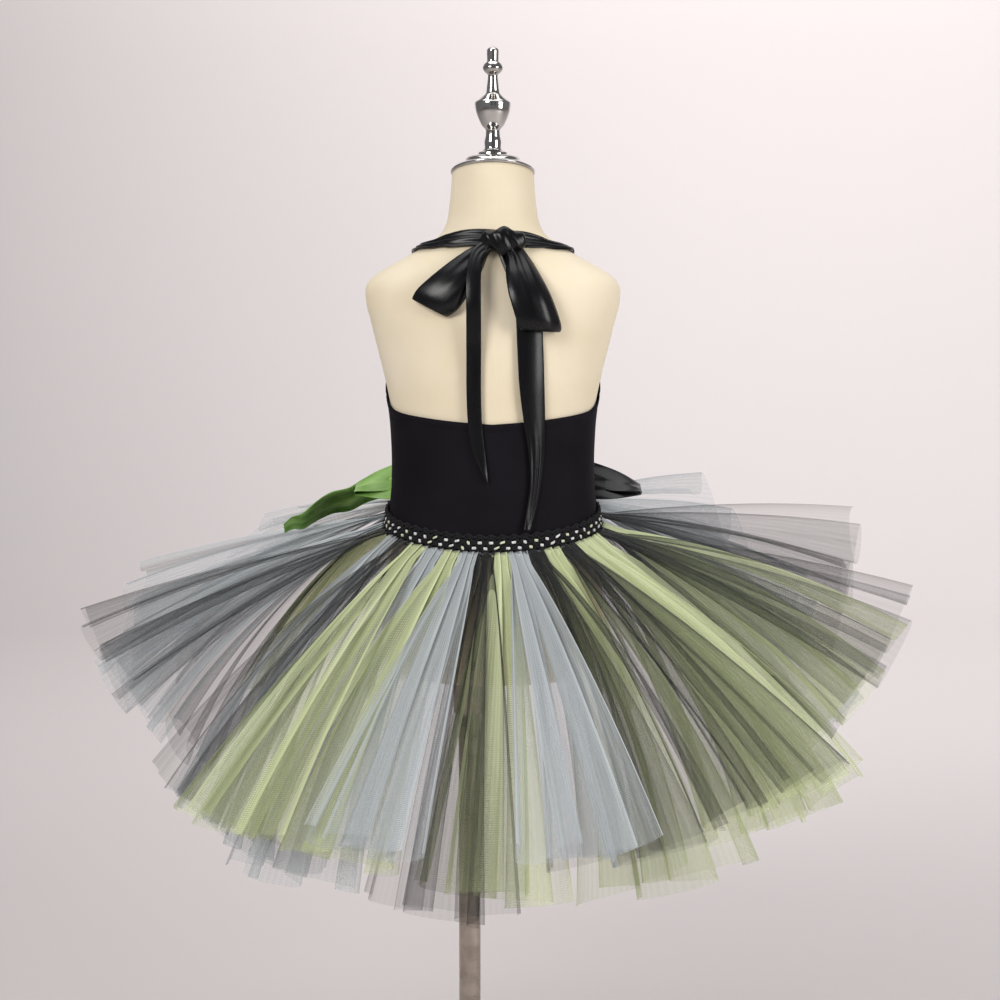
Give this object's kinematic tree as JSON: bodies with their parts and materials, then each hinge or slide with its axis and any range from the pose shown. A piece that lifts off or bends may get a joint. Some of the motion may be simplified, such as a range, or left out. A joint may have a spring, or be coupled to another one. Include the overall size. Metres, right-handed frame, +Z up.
{
  "type": "tutu dress on dress form",
  "caption": "Child's halter tutu dress with a stretch bodice, satin bows and a folded tulle skirt, on a limbless dress form with a pole stand.",
  "frame": {"origin": "on the floor under the form's upright axis, on the base disc's flat underside", "axes": "+Z up, +Y towards the wearer's front, +X towards the wearer's right"},
  "size_m": [0.8263, 0.7366, 1.1452],
  "materials": {
    "form_cover": "smooth matt cream jersey stretched over a hard form",
    "chrome": "polished chrome, turned",
    "stand_steel": "satin nickel-plated steel",
    "stretch_black": "smooth matt black stretch jersey",
    "crochet_black": "black crocheted elastic",
    "satin_black": "black satin ribbon",
    "satin_green": "bright lime satin ribbon",
    "tulle_lime": "fine sheer lime tulle",
    "tulle_white": "fine sheer cool white tulle",
    "tulle_black": "fine sheer black tulle"
  },
  "bodies": {
    "root": {"form_base": "stand_steel", "form_pole": "stand_steel", "form_socket": "stand_steel", "form_torso": "form_cover", "neck_cap": "chrome", "finial": "chrome", "bodice_back": "stretch_black", "bodice_front": "stretch_black", "waistband": "crochet_black", "halter_strap_left": "satin_black", "halter_strap_right": "satin_black", "nape_knot": "satin_black", "nape_loop_left": "satin_black", "nape_loop_right": "satin_black", "nape_tail_left": "satin_black", "nape_tail_right": "satin_black", "front_knot": "satin_green", "front_loop_black": "satin_black", "front_loop_green": "satin_green", "front_tail_green": "satin_green", "tulle_strip_01": "tulle_lime", "tulle_strip_02": "tulle_white", "tulle_strip_03": "tulle_black", "tulle_strip_04": "tulle_lime", "tulle_strip_05": "tulle_black", "tulle_strip_06": "tulle_lime", "tulle_strip_07": "tulle_lime", "tulle_strip_08": "tulle_black", "tulle_strip_09": "tulle_lime", "tulle_strip_10": "tulle_white", "tulle_strip_11": "tulle_black", "tulle_strip_12": "tulle_white", "tulle_strip_13": "tulle_black", "tulle_strip_14": "tulle_white", "tulle_strip_15": "tulle_black", "tulle_strip_16": "tulle_lime", "tulle_strip_17": "tulle_white", "tulle_strip_18": "tulle_black", "tulle_strip_19": "tulle_lime", "tulle_strip_20": "tulle_white", "tulle_strip_21": "tulle_black", "tulle_strip_22": "tulle_lime", "tulle_strip_23": "tulle_white", "tulle_strip_24": "tulle_lime", "tulle_strip_25": "tulle_black", "tulle_strip_26": "tulle_white", "tulle_strip_27": "tulle_black", "tulle_strip_28": "tulle_white", "tulle_strip_29": "tulle_black", "tulle_strip_30": "tulle_white", "tulle_strip_31": "tulle_black", "tulle_strip_32": "tulle_lime", "tulle_strip_33": "tulle_white", "tulle_strip_34": "tulle_lime", "tulle_strip_35": "tulle_white", "tulle_strip_36": "tulle_black"}
  },
  "joints": []
}
